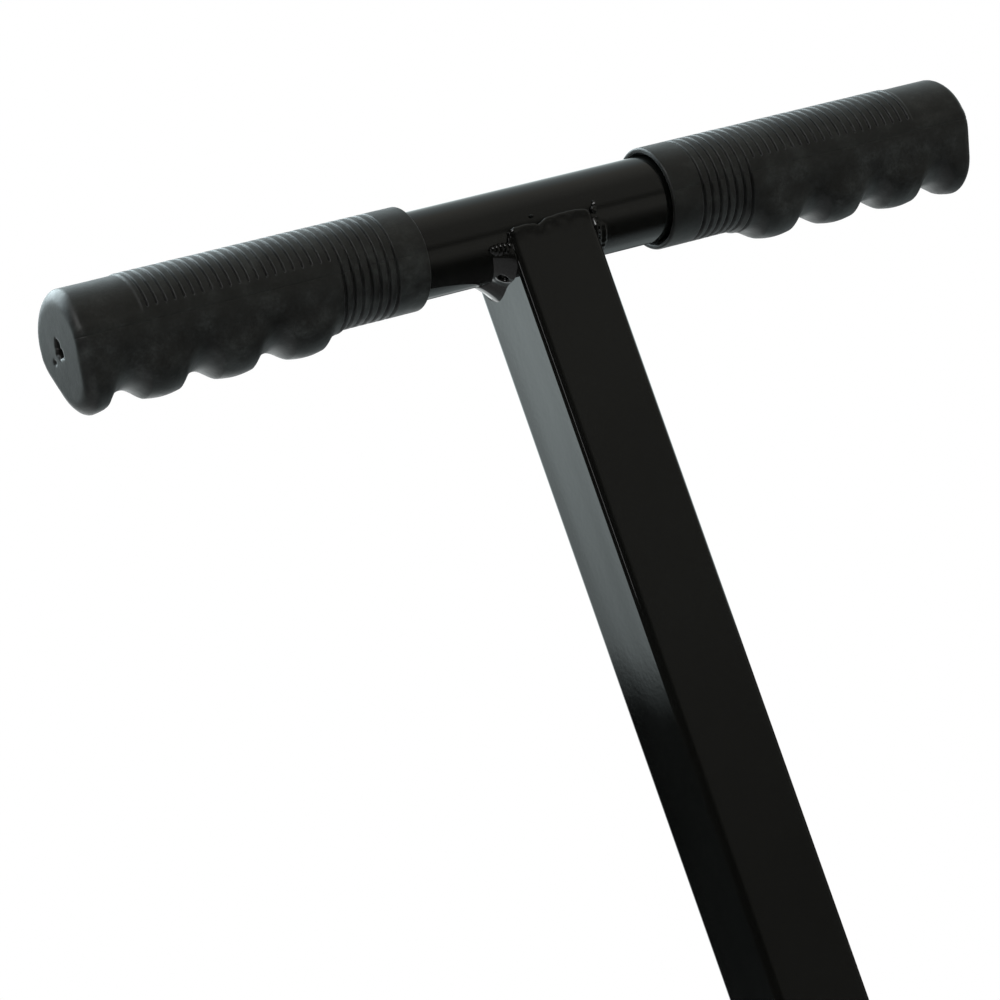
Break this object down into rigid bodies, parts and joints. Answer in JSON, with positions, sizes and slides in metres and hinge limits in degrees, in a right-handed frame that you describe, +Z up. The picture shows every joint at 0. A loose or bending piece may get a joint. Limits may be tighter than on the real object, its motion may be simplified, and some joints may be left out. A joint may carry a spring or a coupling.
{
  "type": "post driver",
  "caption": "Hand post driver: a T handle with rubber finger grips lifts a weighted ram that slides in a square guide sleeve and strikes an anvil over a round post socket.",
  "frame": {"origin": "centre of the socket's lower rim, where the driver rests on the ground or meets the post", "axes": "+Z up along the ram's travel, +X along the crossbar to the right, -Y the front, where the stop bolt's head is"},
  "size_m": [0.317, 0.09, 1.016],
  "materials": {
    "black_powder_coat": "semi-gloss black powder coat",
    "grip_rubber": "matte moulded rubber with a faint cloudy bloom",
    "bare_steel": "oiled bare steel",
    "zinc_plate": "bright zinc plate",
    "black_plastic": "moulded black nylon"
  },
  "bodies": {
    "guide": {"guide_sleeve": "black_powder_coat", "guide_bush": "black_plastic", "bush_screws": "zinc_plate", "anvil_plate": "black_powder_coat", "front_gusset": "black_powder_coat", "back_gusset": "black_powder_coat", "left_gusset": "black_powder_coat", "right_gusset": "black_powder_coat", "gusset_welds": "black_powder_coat", "sleeve_weld": "black_powder_coat", "socket": "black_powder_coat", "socket_weld": "black_powder_coat"},
    "ram": {"crossbar": "black_powder_coat", "upright": "black_powder_coat", "front_weld": "black_powder_coat", "back_weld": "black_powder_coat", "left_weld": "black_powder_coat", "right_weld": "black_powder_coat", "left_grip": "grip_rubber", "right_grip": "grip_rubber", "ram_weight": "bare_steel", "weight_plug_welds": "bare_steel", "striker": "bare_steel", "striker_weld": "bare_steel", "stop_bolt": "zinc_plate", "front_spacer": "zinc_plate", "back_spacer": "zinc_plate", "stop_washers": "zinc_plate", "stop_nut": "zinc_plate", "nut_insert": "black_plastic"}
  },
  "joints": [
    {"name": "ram_slide", "type": "slide", "parent": "guide", "child": "ram", "axis": [0, 0, 1], "range_m": [0, 0.28]}
  ]
}
